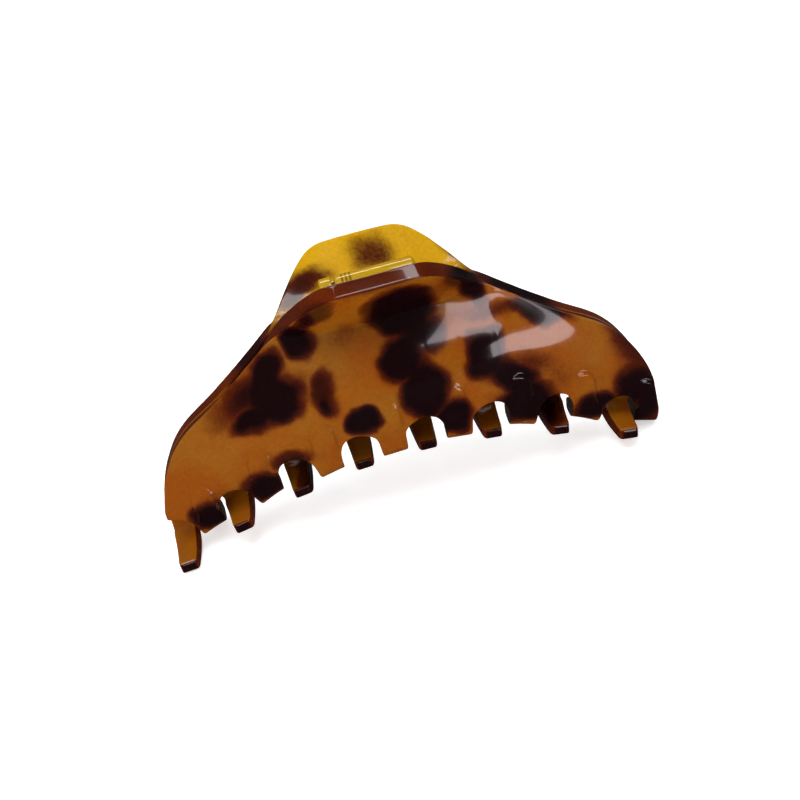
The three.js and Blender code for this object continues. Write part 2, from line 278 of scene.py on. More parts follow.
def lower_edge():
    """Columns (x, height, outward slant) of the lower edge, and each tooth's first column."""
    places = tooth_places()
    columns = []
    firsts = []
    end_top = root_height(ROW_HALF) + END_CLEARANCE
    arch = (PITCH - TOOTH_ROOT_WIDTH) / 2 * ARCH_SHARE
    first_left = places[0][0] - places[0][1] / 2
    span = first_left + HALF_LENGTH
    for k in range(5):
        turn = math.radians(WING_TURN * k)
        columns.append((-HALF_LENGTH + span * math.sin(turn), end_top - arch * (1 - math.cos(turn)),
                        -math.sin(turn) if k > 1 else 0))
    left_height = end_top - arch
    for k, (centre, width) in enumerate(places):
        left = centre - width / 2
        right = centre + width / 2
        if k < TEETH - 1:
            next_left = places[k + 1][0] - places[k + 1][1] / 2
            middle = (right + next_left) / 2
            half = (next_left - right) / 2
            rise = min(half, arch / ARCH_SHARE) * ARCH_SHARE
            right_height = root_height(middle) - rise
        else:
            right_height = root_height(right) - END_DROP
        firsts.append(len(columns))
        for share in TOOTH_COLUMNS:
            columns.append((left + width * share, left_height + (right_height - left_height) * share, 0))
        if k < TEETH - 1:
            for across in ARCH_PLACES:
                height = math.sqrt(1 - across ** 2)
                slant = across * ARCH_SHARE / math.hypot(across * ARCH_SHARE, height)
                columns.append((middle + half * across, right_height + rise * height, slant))
            left_height = right_height
    return columns, firsts


def cage_points(half_sheet):
    """Rows of points on the middle of the sheet, from the lower edge up to the rim."""
    columns, firsts = lower_edge()
    rows = []
    for row in range(SHEET_ROWS + 1):
        points = []
        for x, low, slant in columns:
            low_x, low_z = seen_at(x, low, half_sheet)
            high = upper_height(x)
            height = high - low_z
            edge = min(EDGE_ROW, height / 4)
            inner = (row - 1) / (SHEET_ROWS - 2)
            if row == 0:
                up = 0
            elif row == SHEET_ROWS:
                up = height
            else:
                up = edge + (height - 2 * edge) * inner
            push = slant * EDGE_ROW * EDGE_PUSH * max(0, 1 - inner * 6) if row else 0
            points.append(sheet_point(low_x + push, low_z + up, half_sheet))
        rows.append(points)
    return rows, firsts


def tooth_path(x, start):
    """Points down the middle of a tooth, from its start on the sheet to its tip."""
    share = x / ROW_HALF
    root = sheet_point(x, root_height(x) - 1, ROOT_DEPTH)
    tip = Vector((x, TIP_REACH + TIP_REACH_GAIN * share ** 2, TIP_RISE * (1 - share ** 2)))
    first = Vector((x, root.y - 0.1, root.z - 0.62 * (root.z - tip.z) - 1.2))
    second = Vector((x, root.y + 4.2, tip.z + 0.1))
    line = []
    for k in range(81):
        t = k / 80
        line.append(root * (1 - t) ** 3 + first * 3 * t * (1 - t) ** 2
                    + second * 3 * t * t * (1 - t) + tip * t ** 3)
    line = [start] + [p for p in line if p.z < start.z - 0.4 or p.y > root.y + 1.5]
    lengths = [0]
    for a, b in zip(line, line[1:]):
        lengths.append(lengths[-1] + (b - a).length)
    points = []
    for station in TOOTH_STATIONS:
        target = station * lengths[-1]
        index = next(i for i, length in enumerate(lengths) if length >= target - 1e-9)
        points.append(line[index])
    return points


# Small helpers for working by hand in the viewport's own way

def start_clean():
    """Object mode with nothing selected."""
    if bpy.context.object and bpy.context.object.mode != "OBJECT":
        bpy.ops.object.mode_set(mode="OBJECT")
    bpy.ops.object.select_all(action="DESELECT")


def make_active(obj):
    start_clean()
    obj.select_set(True)
    bpy.context.view_layer.objects.active = obj


def select_elements(obj, vertices=(), faces=None):
    """Enters edit mode with only the given vertices or faces selected."""
    bpy.ops.object.mode_set(mode="EDIT")
    bpy.ops.mesh.select_mode(type="FACE" if faces is not None else "VERT")
    bpy.ops.mesh.select_all(action="DESELECT")
    bpy.ops.object.mode_set(mode="OBJECT")
    if faces is not None:
        for index in faces:
            obj.data.polygons[index].select = True
    else:
        for index in vertices:
            obj.data.vertices[index].select = True
    bpy.ops.object.mode_set(mode="EDIT")


def apply_all(obj):
    make_active(obj)
    for modifier in list(obj.modifiers):
        bpy.ops.object.modifier_apply(modifier=modifier.name)


def assign(obj, *materials):
    """Fills the material slots in order, so that each face keeps its slot number."""
    slots = obj.data.materials
    while len(slots) > len(materials):
        slots.pop()
    while len(slots) < len(materials):
        slots.append(None)
    for number, material in enumerate(materials):
        slots[number] = material


# Modelling of a jaw

def add_sheet_cage(sizes):
    """The sheet as a single layer of faces, with its arches and upper outline."""
    rows, firsts = cage_points(sizes.sheet / MM / 2)
    wide = len(rows[0])
    start_clean()
    bpy.ops.mesh.primitive_grid_add(x_subdivisions=wide - 1, y_subdivisions=SHEET_ROWS, size=1)
    jaw = bpy.context.object
    if len(jaw.data.vertices) != wide * (SHEET_ROWS + 1):
        raise RuntimeError("the sheet's grid has an unexpected number of points")
    for vertex in jaw.data.vertices:
        column = round((vertex.co.x + 0.5) * (wide - 1))
        row = round((vertex.co.y + 0.5) * SHEET_ROWS)
        point = rows[row][column] + Vector((0, 0, LIFT))
        vertex.co = point * MM
    starts = []
    for first in firsts:
        starts.append([first + k for k in range(len(TOOTH_COLUMNS))])
    return jaw, starts


def pull_teeth(jaw, starts, sizes):
    """Extrudes each tooth from the sheet's lower edge, step by step, narrowing and thinning it."""
    make_active(jaw)
    group = jaw.vertex_groups.new(name="thickness")
    group.add(range(len(jaw.data.vertices)), 1.0, "REPLACE")
    settings = bpy.context.scene.tool_settings
    lift = Vector((0, 0, LIFT))
    tips = []
    for (centre, width), indices in zip(tooth_places(), starts):
        corners = [jaw.data.vertices[i].co.copy() for i in indices]
        start = sum(corners, Vector()) / len(corners) / MM - lift
        start.x = centre
        select_elements(jaw, vertices=indices)
        before = start
        tip_share = sizes.tip_width / MM / width
        last_scale = 1.0
        for station, point in zip(TOOTH_STATIONS, tooth_path(centre, start)):
            step = (point - before) * MM
            bpy.ops.mesh.extrude_region_move(TRANSFORM_OT_translate={"value": step})
            scale = 1 + (tip_share - 1) * station ** 1.1
            if station == 1.0:
                scale *= TIP_NARROWING
            place = (point + lift) * MM
            bpy.ops.transform.resize(
                value=(scale / last_scale, *CURVE_FLATTENING), center_override=place)
            last_scale = scale
            weight = 1 + (sizes.tip_thickness / sizes.sheet - 1) * station
            settings.vertex_group_weight = weight * (TIP_THINNING if station == 1.0 else 1)
            bpy.ops.object.vertex_group_assign()
            before = point
        tips.append((place, step.normalized()))
        bpy.ops.object.mode_set(mode="OBJECT")
    return tips


def thicken(jaw, sizes):
    """Gives the sheet its thickness and a narrow border of faces inside its rim."""
    make_active(jaw)
    solidify = jaw.modifiers.new("thickness", "SOLIDIFY")
    solidify.thickness = sizes.sheet
    solidify.offset = 0
    solidify.vertex_group = "thickness"
    solidify.material_offset_rim = 1
    apply_all(jaw)
    rim = [face.index for face in jaw.data.polygons if face.material_index == 1]
    if not rim:
        raise RuntimeError("the jaw has no rim")
    select_elements(jaw, faces=rim)
    bpy.ops.mesh.inset(thickness=sizes.edge_round, use_even_offset=False)
    bpy.ops.object.mode_set(mode="OBJECT")


def pad_share(x, z, centre, width):
    """How much of a pad's rise a point gets: none outside it, all of it inside a soft border."""
    root = root_height(centre)
    half = width / 2
    inside = half - math.hypot(x - centre, max(z - root - PAD_HEIGHT + half, 0))
    share = min(max(inside / PAD_SLOPE, 0), 1)
    fade = min(max(1 + (z - root) / PAD_FADE, 0), 1)
    return share * share * (3 - 2 * share) * fade


def raise_pads(jaw, sizes):
    """Lifts a low round-topped pad on the outside of each tooth's root."""
    group = jaw.vertex_groups.new(name="pads")
    for vertex in jaw.data.vertices:
        if vertex.normal.y > OUTWARD:
            continue
        x, z = vertex.co.x / MM, vertex.co.z / MM - LIFT
        share = max(pad_share(x, z, centre, width) for centre, width in tooth_places())
        if share:
            group.add([vertex.index], share, "REPLACE")
    pads = jaw.modifiers.new("pads", "DISPLACE")
    pads.vertex_group = group.name
    pads.mid_level = 0
    pads.strength = sizes.pad_rise
    apply_all(jaw)


def mark_tips(jaw, tips):
    """Stores how near each point is to the cut end of its tooth, for the painted shade that darkens the
    ends.
    """
    mark = jaw.data.attributes.new("tip", "FLOAT", "POINT")
    for vertex in jaw.data.vertices:
        value = 0
        for tip, ahead in tips:
            away = vertex.co - tip
            if away.length < TIP_SHADE_REACH * MM:
                shade = TIP_SHADE_AT_END + away.dot(ahead) / (TIP_SHADE_LENGTH * MM)
                value = max(value, min(shade, TIP_SHADE_MOST))
        mark.data[vertex.index].value = value


def model_jaw(sizes, name):
    """A finished front jaw."""
    jaw, starts = add_sheet_cage(sizes)
    jaw.name = name
    jaw.data.name = name
    assign(jaw, bpy.data.materials.new("sheet"), bpy.data.materials.new("rim"))
    tips = pull_teeth(jaw, starts, sizes)
    thicken(jaw, sizes)
    smooth = jaw.modifiers.new("smooth", "SUBSURF")
    smooth.levels = 2
    smooth.render_levels = 2
    apply_all(jaw)
    raise_pads(jaw, sizes)
    jaw.vertex_groups.clear()
    mark_tips(jaw, tips)
    bpy.ops.object.shade_smooth()
    return jaw


# Materials

def new_material(name):
    material = bpy.data.materials.new(name)
    material.use_nodes = True
    tree = material.node_tree
    return material, tree, tree.nodes["Principled BSDF"]


def add_node(tree, kind, **settings):
    node = tree.nodes.new(kind)
    for key, value in settings.items():
        setattr(node, key, value)
    return node


def new_group(name, inputs, outputs):
    """A shader group with named sockets; returns it with its input and output nodes."""
    group = bpy.data.node_groups.new(name, "ShaderNodeTree")
    for label, kind, default in inputs:
        socket = group.interface.new_socket(name=label, in_out="INPUT", socket_type=kind)
        if default is not None:
            socket.default_value = default
    for label, kind in outputs:
        group.interface.new_socket(name=label, in_out="OUTPUT", socket_type=kind)
    return group, group.nodes.new("NodeGroupInput"), group.nodes.new("NodeGroupOutput")


def use_group(tree, group, **values):
    node = add_node(tree, "ShaderNodeGroup", node_tree=group)
    for key, value in values.items():
        node.inputs[key].default_value = value
    return node


def shared_group(name, build):
    """The group of that name, built the first time it is asked for."""
    return bpy.data.node_groups.get(name) or build(name)


def build_drift(name):
    """Position in millimetres, wandering a little so that blotches get uneven borders."""
    group, given, result = new_group(
        name, [("Wander", "NodeSocketFloat", 5.0)], [("Place", "NodeSocketVector")])
    position = add_node(group, "ShaderNodeTexCoord")
    scale = add_node(group, "ShaderNodeVectorMath", operation="SCALE")
    scale.inputs["Scale"].default_value = 1 / MM
    group.links.new(position.outputs["Object"], scale.inputs[0])
    noise = add_node(group, "ShaderNodeTexNoise")
    noise.inputs["Scale"].default_value = 0.14
    noise.inputs["Detail"].default_value = 2
    noise.inputs["Roughness"].default_value = 0.45
    group.links.new(scale.outputs[0], noise.inputs["Vector"])
    centred = add_node(group, "ShaderNodeVectorMath", operation="SUBTRACT")
    centred.inputs[1].default_value = (0.5, 0.5, 0.5)
    group.links.new(noise.outputs["Color"], centred.inputs[0])
    shift = add_node(group, "ShaderNodeVectorMath", operation="SCALE")
    group.links.new(centred.outputs[0], shift.inputs[0])
    group.links.new(given.outputs["Wander"], shift.inputs["Scale"])
    total = add_node(group, "ShaderNodeVectorMath", operation="ADD")
    group.links.new(scale.outputs[0], total.inputs[0])
    group.links.new(shift.outputs[0], total.inputs[1])
    group.links.new(total.outputs[0], result.inputs["Place"])
    return group


def build_blotch(name):
    """A soft oval of dark in the sheet, seen square to the jaw."""
    group, given, result = new_group(
        name,
        [("Place", "NodeSocketVector", None), ("Centre", "NodeSocketVector", (0, 0, 0)),
         ("Turn", "NodeSocketVector", (0, 0, 0)), ("Size", "NodeSocketVector", (5, 1000, 5)),
         ("Soft", "NodeSocketFloat", 0.35), ("Strength", "NodeSocketFloat", 1.0)],
        [("Mask", "NodeSocketFloat")])
    local = add_node(group, "ShaderNodeMapping", vector_type="TEXTURE")
    group.links.new(given.outputs["Place"], local.inputs["Vector"])
    group.links.new(given.outputs["Centre"], local.inputs["Location"])
    group.links.new(given.outputs["Turn"], local.inputs["Rotation"])
    group.links.new(given.outputs["Size"], local.inputs["Scale"])
    away = add_node(group, "ShaderNodeVectorMath", operation="LENGTH")
    group.links.new(local.outputs[0], away.inputs[0])
    outer = add_node(group, "ShaderNodeMath", operation="ADD")
    outer.inputs[0].default_value = 1
    group.links.new(given.outputs["Soft"], outer.inputs[1])
    inner = add_node(group, "ShaderNodeMath", operation="SUBTRACT")
    inner.inputs[0].default_value = 1
    group.links.new(given.outputs["Soft"], inner.inputs[1])
    fall = add_node(group, "ShaderNodeMapRange", interpolation_type="SMOOTHSTEP")
    group.links.new(away.outputs["Value"], fall.inputs["Value"])
    group.links.new(inner.outputs[0], fall.inputs["From Min"])
    group.links.new(outer.outputs[0], fall.inputs["From Max"])
    group.links.new(given.outputs["Strength"], fall.inputs["To Min"])
    fall.inputs["To Max"].default_value = 0
    group.links.new(fall.outputs["Result"], result.inputs["Mask"])
    return group


def build_sheet_colour(name):
    """Colour of the layered sheet from a darkness mask: amber, honey drifts, rust border, dark, with a
    painted yellow glow near the top standing in for light coming through the handle.
    """
    group, given, result = new_group(
        name,
        [("Place", "NodeSocketVector", None), ("Darkness", "NodeSocketFloat", 0.0),
         ("Amber", "NodeSocketColor", None), ("Honey", "NodeSocketColor", None),
         ("Rust", "NodeSocketColor", None), ("Dark", "NodeSocketColor", None),
         ("Yellow", "NodeSocketColor", None), ("Glow", "NodeSocketFloat", 0.0)],
        [("Colour", "NodeSocketColor")])
    drift = add_node(group, "ShaderNodeTexNoise")
    drift.inputs["Scale"].default_value = 0.09
    drift.inputs["Detail"].default_value = 2
    group.links.new(given.outputs["Place"], drift.inputs["Vector"])
    ground = add_node(group, "ShaderNodeMix", data_type="RGBA")
    spread = add_node(group, "ShaderNodeMapRange")
    spread.inputs["From Min"].default_value = 0.4
    spread.inputs["From Max"].default_value = 0.62
    group.links.new(drift.outputs["Fac"], spread.inputs["Value"])
    group.links.new(spread.outputs["Result"], ground.inputs["Factor"])
    group.links.new(given.outputs["Amber"], ground.inputs["A"])
    group.links.new(given.outputs["Honey"], ground.inputs["B"])
    grain = add_node(group, "ShaderNodeTexNoise")
    grain.inputs["Scale"].default_value = 1.6
    grain.inputs["Detail"].default_value = 4
    group.links.new(given.outputs["Place"], grain.inputs["Vector"])
    grain_shift = add_node(group, "ShaderNodeMapRange")
    grain_shift.inputs["From Min"].default_value = 0.3
    grain_shift.inputs["From Max"].default_value = 0.7
    grain_shift.inputs["To Min"].default_value = -0.04
    grain_shift.inputs["To Max"].default_value = 0.04
    group.links.new(grain.outputs["Fac"], grain_shift.inputs["Value"])
    level = add_node(group, "ShaderNodeMath", operation="ADD")
    group.links.new(given.outputs["Darkness"], level.inputs[0])
    group.links.new(grain_shift.outputs["Result"], level.inputs[1])
    to_rust = add_node(group, "ShaderNodeMapRange", interpolation_type="SMOOTHSTEP")
    to_rust.inputs["From Min"].default_value = 0.05
    to_rust.inputs["From Max"].default_value = 0.55
    group.links.new(level.outputs[0], to_rust.inputs["Value"])
    border = add_node(group, "ShaderNodeMix", data_type="RGBA")
    group.links.new(to_rust.outputs["Result"], border.inputs["Factor"])
    apart = add_node(group, "ShaderNodeSeparateXYZ")
    group.links.new(given.outputs["Place"], apart.inputs[0])
    # Painted light: the ground turns towards the glow colour from 38 to 43 mm up, where light comes
    # through the handle
    high = add_node(group, "ShaderNodeMapRange", interpolation_type="SMOOTHSTEP")
    high.inputs["From Min"].default_value = 38
    high.inputs["From Max"].default_value = 43
    group.links.new(apart.outputs["Z"], high.inputs["Value"])
    group.links.new(given.outputs["Glow"], high.inputs["To Max"])
    lit = add_node(group, "ShaderNodeMix", data_type="RGBA")
    group.links.new(high.outputs["Result"], lit.inputs["Factor"])
    group.links.new(ground.outputs["Result"], lit.inputs["A"])
    group.links.new(given.outputs["Yellow"], lit.inputs["B"])
    group.links.new(lit.outputs["Result"], border.inputs["A"])
    group.links.new(given.outputs["Rust"], border.inputs["B"])
    to_dark = add_node(group, "ShaderNodeMapRange", interpolation_type="SMOOTHSTEP")
    to_dark.inputs["From Min"].default_value = 0.38
    to_dark.inputs["From Max"].default_value = 0.92
    group.links.new(level.outputs[0], to_dark.inputs["Value"])
    middle = add_node(group, "ShaderNodeMix", data_type="RGBA")
    group.links.new(to_dark.outputs["Result"], middle.inputs["Factor"])
    group.links.new(border.outputs["Result"], middle.inputs["A"])
    group.links.new(given.outputs["Dark"], middle.inputs["B"])
    group.links.new(middle.outputs["Result"], result.inputs["Colour"])
    return group


def build_polish(name):
    """Handling marks on a polished surface: roughness and a height for hairline scratches."""
    group, given, result = new_group(
        name,
        [("Smooth", "NodeSocketFloat", 0.08), ("Rough", "NodeSocketFloat", 0.2)],
        [("Roughness", "NodeSocketFloat"), ("Height", "NodeSocketFloat")])
    position = add_node(group, "ShaderNodeTexCoord")
    smear = add_node(group, "ShaderNodeTexNoise")
    smear.inputs["Scale"].default_value = 90
    smear.inputs["Detail"].default_value = 5
    group.links.new(position.outputs["Object"], smear.inputs["Vector"])
    spread = add_node(group, "ShaderNodeMapRange")
    spread.inputs["From Min"].default_value = 0.4
    spread.inputs["From Max"].default_value = 0.75
    group.links.new(smear.outputs["Fac"], spread.inputs["Value"])
    group.links.new(given.outputs["Smooth"], spread.inputs["To Min"])
    group.links.new(given.outputs["Rough"], spread.inputs["To Max"])
    stretched = add_node(group, "ShaderNodeMapping")
    stretched.inputs["Scale"].default_value = (120, 1500, 2600)
    stretched.inputs["Rotation"].default_value = (0, 0.35, 0)
    group.links.new(position.outputs["Object"], stretched.inputs["Vector"])
    scratch = add_node(group, "ShaderNodeTexNoise")
    scratch.inputs["Scale"].default_value = 1
    scratch.inputs["Detail"].default_value = 2
    group.links.new(stretched.outputs[0], scratch.inputs["Vector"])
    group.links.new(spread.outputs["Result"], result.inputs["Roughness"])
    group.links.new(scratch.outputs["Fac"], result.inputs["Height"])
    return group


# Dark blotches: centre along the clip and height, half length, half height, turn, softness, strength
FRONT_BLOTCHES = (
    (-22.4, 28.6, 5.6, 5.0, 10, 0.5, 1.0),
    (-22.6, 33.4, 4.0, 3.0, 35, 0.56, 1.0),
    (-27.0, 25.0, 4.2, 2.3, 20, 0.7, 0.95),
    (-31.5, 26.8, 5.0, 3.4, 15, 0.84, 0.42),
    (-26.5, 30.0, 5.6, 3.4, 35, 0.84, 0.8),
    (-13.3, 28.0, 2.9, 4.0, 0, 0.59, 0.72),
    (-13.3, 26.0, 1.8, 1.8, 0, 0.95, 0.9),
    (-7.9, 21.4, 3.4, 3.1, 0, 0.45, 1.0),
    (-39.3, 7.6, 4.3, 3.0, 10, 0.56, 1.0),
    (-37.0, 11.5, 4.5, 2.6, 20, 0.95, 0.28),
    (-28.8, 11.6, 4.6, 3.3, 15, 0.56, 1.0),
    (-22.4, 16.4, 3.8, 1.4, 5, 0.84, 0.75),
    (-15.4, 38.4, 3.8, 3.6, 20, 0.48, 1.0),
    (-11.6, 43.4, 4.5, 3.0, 48, 0.7, 0.8),
    (4.2, 39.7, 6.9, 5.6, 0, 0.34, 1.0),
    (6.5, 33.5, 4.5, 3.4, 0, 0.63, 0.9),
    (2.0, 30.6, 4.6, 3.6, 0, 0.5, 1.0),
    (4.6, 24.2, 4.6, 5.8, -12, 0.42, 1.0),
    (8.6, 16.8, 3.6, 4.6, 10, 0.5, 1.0),
    (16.8, 26.6, 4.2, 4.6, -20, 0.5, 1.0),
    (21.6, 21.0, 5.8, 3.6, -46, 0.59, 0.96),
    (22.4, 15.0, 6.4, 4.0, -14, 0.5, 1.0),
    (26.0, 22.4, 4.6, 2.6, -35, 0.95, 0.5),
    (30.0, 17.5, 4.2, 2.6, -35, 0.95, 0.32),
    (36.4, 8.2, 4.8, 3.2, -8, 0.56, 1.0),
    (44.6, 7.6, 5.4, 6.6, 0, 0.56, 1.0),
    (46.2, 19.0, 4.2, 9.5, 12, 0.77, 0.66),
    (16.6, 40.2, 5.4, 2.4, -60, 0.56, 1.0),
    (20.5, 33.8, 7.0, 1.9, -10, 0.95, 0.5),
    (28.8, 30.6, 6.8, 1.8, -28, 0.7, 0.95),
    (0.0, 48.4, 10.5, 2.6, 0, 0.84, 0.5),
    (13.0, 42.0, 4.0, 3.4, -20, 0.95, 0.42),
    (-6.4, 36.6, 4.5, 2.0, 15, 0.95, 0.34),
    (-17.5, 31.5, 3.0, 2.4, 0, 0.95, 0.34),
)
BACK_BLOTCHES = (
    (1.8, 45.5, 4.8, 3.2, -6, 0.84, 0.5),
    (-12.5, 43.2, 6.0, 2.0, 14, 0.84, 0.66),
    (-15.0, 45.5, 2.4, 4.5, -20, 0.84, 0.55),
    (10.5, 46.5, 6.5, 4.0, -30, 0.9, 0.2),
    (17.5, 43.0, 6.0, 1.6, -50, 0.84, 0.5),
    (-24.0, 34.0, 6.0, 3.0, 30, 0.63, 0.8),
    (4.0, 36.0, 6.5, 4.5, 0, 0.49, 1.0),
    (25.0, 33.5, 9.0, 3.2, -30, 0.56, 1.0),
    (-9.0, 28.0, 5.5, 4.5, 20, 0.49, 1.0),
    (13.0, 24.0, 5.0, 4.0, -30, 0.49, 0.95),
    (-33.0, 21.5, 5.5, 5.0, 15, 0.49, 1.0),
    (-21.0, 22.0, 3.0, 3.4, 0, 0.56, 0.8),
    (37.0, 16.5, 5.0, 4.0, 0, 0.49, 1.0),
    (2.0, 19.0, 3.5, 2.6, 0, 0.56, 0.9),
    (-44.0, 12.0, 3.5, 5.5, 0, 0.63, 0.8),
    (25.0, 12.0, 6.5, 4.6, 0, 0.56, 0.95),
    (-18.5, 10.5, 4.0, 5.0, 0, 0.63, 0.8),
)


def tortoise_material(name, colours, blotches, glow, rough, ground, pale):
    """Polished layered sheet with soft dark blotches; glow is how strongly painted light, coming through
    its handle, turns the top yellow.
    """
    material, tree, shader = new_material(name)
    drift = use_group(tree, shared_group("drift", build_drift))
    blotch = shared_group("blotch", build_blotch)
    darkness = None
    for x, z, wide, high, turn, soft, strength in blotches:
        spot = use_group(
            tree, blotch, Centre=(x, 0, z), Turn=(0, math.radians(-turn), 0),
            Size=(wide, 1000, high), Soft=soft, Strength=strength)
        tree.links.new(drift.outputs["Place"], spot.inputs["Place"])
        if darkness is None:
            darkness = spot.outputs["Mask"]
        else:
            either = add_node(tree, "ShaderNodeMath", operation="SMOOTH_MAX")
            either.inputs[2].default_value = 0.25
            tree.links.new(darkness, either.inputs[0])
            tree.links.new(spot.outputs["Mask"], either.inputs[1])
            darkness = either.outputs[0]
    # Painted shade at the cut ends of the teeth, joined to the blotches' darkness
    tip = add_node(tree, "ShaderNodeAttribute", attribute_name="tip")
    with_tips = add_node(tree, "ShaderNodeMath", operation="MAXIMUM")
    tree.links.new(darkness, with_tips.inputs[0])
    tree.links.new(tip.outputs["Fac"], with_tips.inputs[1])
    darkness = with_tips.outputs[0]
    colour = use_group(
        tree, shared_group("sheet_colour", build_sheet_colour), Glow=glow, Yellow=(*colours.handle, 1),
        Amber=(*ground, 1), Honey=(*pale, 1), Rust=(*colours.rust, 1), Dark=(*colours.dark, 1))
    tree.links.new(drift.outputs["Place"], colour.inputs["Place"])
    tree.links.new(darkness, colour.inputs["Darkness"])
    tree.links.new(colour.outputs["Colour"], shader.inputs["Base Color"])
    polish = use_group(tree, shared_group("polish", build_polish), Smooth=rough, Rough=rough + 0.1)
    tree.links.new(polish.outputs["Roughness"], shader.inputs["Roughness"])
    bump = add_node(tree, "ShaderNodeBump")
    bump.inputs["Strength"].default_value = 0.02
    bump.inputs["Distance"].default_value = 0.02 * MM
    tree.links.new(polish.outputs["Height"], bump.inputs["Height"])
    tree.links.new(bump.outputs["Normal"], shader.inputs["Normal"])
    shader.inputs["IOR"].default_value = 1.5
    shader.inputs["Coat Weight"].default_value = 0.4
    shader.inputs["Coat Roughness"].default_value = 0.02
    return material


def clear_amber_material(name, colours):
    """Clear moulded amber plastic of the hinge, with painted shade of the spring's turns as dark stripes
    in its wall.
    """
    material, tree, shader = new_material(name)
    position = add_node(tree, "ShaderNodeTexCoord")
    cloud = add_node(tree, "ShaderNodeTexNoise")
    cloud.inputs["Scale"].default_value = 300
    tree.links.new(position.outputs["Object"], cloud.inputs["Vector"])
    mix = add_node(tree, "ShaderNodeMix", data_type="RGBA")
    tree.links.new(cloud.outputs["Fac"], mix.inputs["Factor"])
    mix.inputs["A"].default_value = (*colours.hinge, 1)
    mix.inputs["B"].default_value = (*[c * 0.82 for c in colours.hinge], 1)
    scale = add_node(tree, "ShaderNodeVectorMath", operation="SCALE")
    scale.inputs["Scale"].default_value = 1 / MM
    tree.links.new(position.outputs["Object"], scale.inputs[0])
    colour = mix.outputs["Result"]
    # Painted shade: three dark stripes stand in for the spring's turns seen through the clear wall
    for turn in range(3):
        mark = use_group(
            tree, shared_group("blotch", build_blotch), Size=(0.2, 1000, 1.1), Soft=0.6,
            Strength=0.7, Centre=(-4.6 + 0.75 * turn, 0, PIVOT_HEIGHT + LIFT + 1.7))
        tree.links.new(scale.outputs[0], mark.inputs["Place"])
        shade = add_node(tree, "ShaderNodeMix", data_type="RGBA")
        shade.inputs["B"].default_value = (*colours.rust, 1)
        tree.links.new(mark.outputs["Mask"], shade.inputs["Factor"])
        tree.links.new(colour, shade.inputs["A"])
        colour = shade.outputs["Result"]
    tree.links.new(colour, shader.inputs["Base Color"])
    polish = use_group(tree, shared_group("polish", build_polish), Smooth=0.03, Rough=0.1)
    tree.links.new(polish.outputs["Roughness"], shader.inputs["Roughness"])
    shader.inputs["Transmission Weight"].default_value = 0.3
    shader.inputs["IOR"].default_value = 1.49
    shader.inputs["Coat Weight"].default_value = 0.3
    return material


def steel_material(name, colours, rough):
    """Drawn wire, with a faint tarnish and uneven polish."""
    material, tree, shader = new_material(name)
    polish = use_group(tree, shared_group("polish", build_polish), Smooth=rough, Rough=rough + 0.15)
    tree.links.new(polish.outputs["Roughness"], shader.inputs["Roughness"])
    position = add_node(tree, "ShaderNodeTexCoord")
    tarnish = add_node(tree, "ShaderNodeTexNoise")
    tarnish.inputs["Scale"].default_value = 700
    tree.links.new(position.outputs["Object"], tarnish.inputs["Vector"])
    mix = add_node(tree, "ShaderNodeMix", data_type="RGBA")
    tree.links.new(tarnish.outputs["Fac"], mix.inputs["Factor"])
    mix.inputs["A"].default_value = (*colours.steel, 1)
    mix.inputs["B"].default_value = (*[c * 0.6 for c in colours.steel], 1)
    tree.links.new(mix.outputs["Result"], shader.inputs["Base Color"])
    shader.inputs["Metallic"].default_value = 1
    return material


def floor_material(name):
    """White paper sweep that stays white around the clip's soft shadow."""
    material, tree, shader = new_material(name)
    position = add_node(tree, "ShaderNodeTexCoord")
    fibre = add_node(tree, "ShaderNodeTexNoise")
    fibre.inputs["Scale"].default_value = 30
    tree.links.new(position.outputs["Object"], fibre.inputs["Vector"])
    mix = add_node(tree, "ShaderNodeMix", data_type="RGBA")
    tree.links.new(fibre.outputs["Fac"], mix.inputs["Factor"])
    mix.inputs["A"].default_value = (0.86, 0.86, 0.87, 1)
    mix.inputs["B"].default_value = (0.84, 0.84, 0.85, 1)
    shader.inputs["Roughness"].default_value = 0.9
    shader.inputs["Specular IOR Level"].default_value = 0.1
    shader.inputs["Emission Strength"].default_value = 0.54
    seen = add_node(tree, "ShaderNodeLightPath")
    dim = add_node(tree, "ShaderNodeMix", data_type="RGBA")
    dim.inputs["A"].default_value = (1, 1, 1, 1)
    dim.inputs["B"].default_value = (0, 0, 0, 1)
    tree.links.new(seen.outputs["Is Glossy Ray"], dim.inputs["Factor"])
    tree.links.new(dim.outputs["Result"], shader.inputs["Emission Color"])
    darker = add_node(tree, "ShaderNodeMix", data_type="RGBA")
    tree.links.new(seen.outputs["Is Glossy Ray"], darker.inputs["Factor"])
    tree.links.new(mix.outputs["Result"], darker.inputs["A"])
    darker.inputs["B"].default_value = (0.02, 0.02, 0.022, 1)
    tree.links.new(darker.outputs["Result"], shader.inputs["Base Color"])
    return material


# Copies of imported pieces

def merged_copy(node, name, angle):
    """A smooth-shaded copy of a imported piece, with its loose triangles joined up."""
    source = frame["nodes"][node]
    piece = bpy.data.objects.new(name, source.data.copy())
    bpy.context.scene.collection.objects.link(piece)
    make_active(piece)
    bpy.ops.object.mode_set(mode="EDIT")
    bpy.ops.mesh.select_all(action="SELECT")
    bpy.ops.mesh.remove_doubles(threshold=0.002 * MM)
    bpy.ops.object.mode_set(mode="OBJECT")
    bpy.ops.object.shade_smooth_by_angle(angle=math.radians(angle))
    return piece


# Operators, one for each piece or group of like pieces

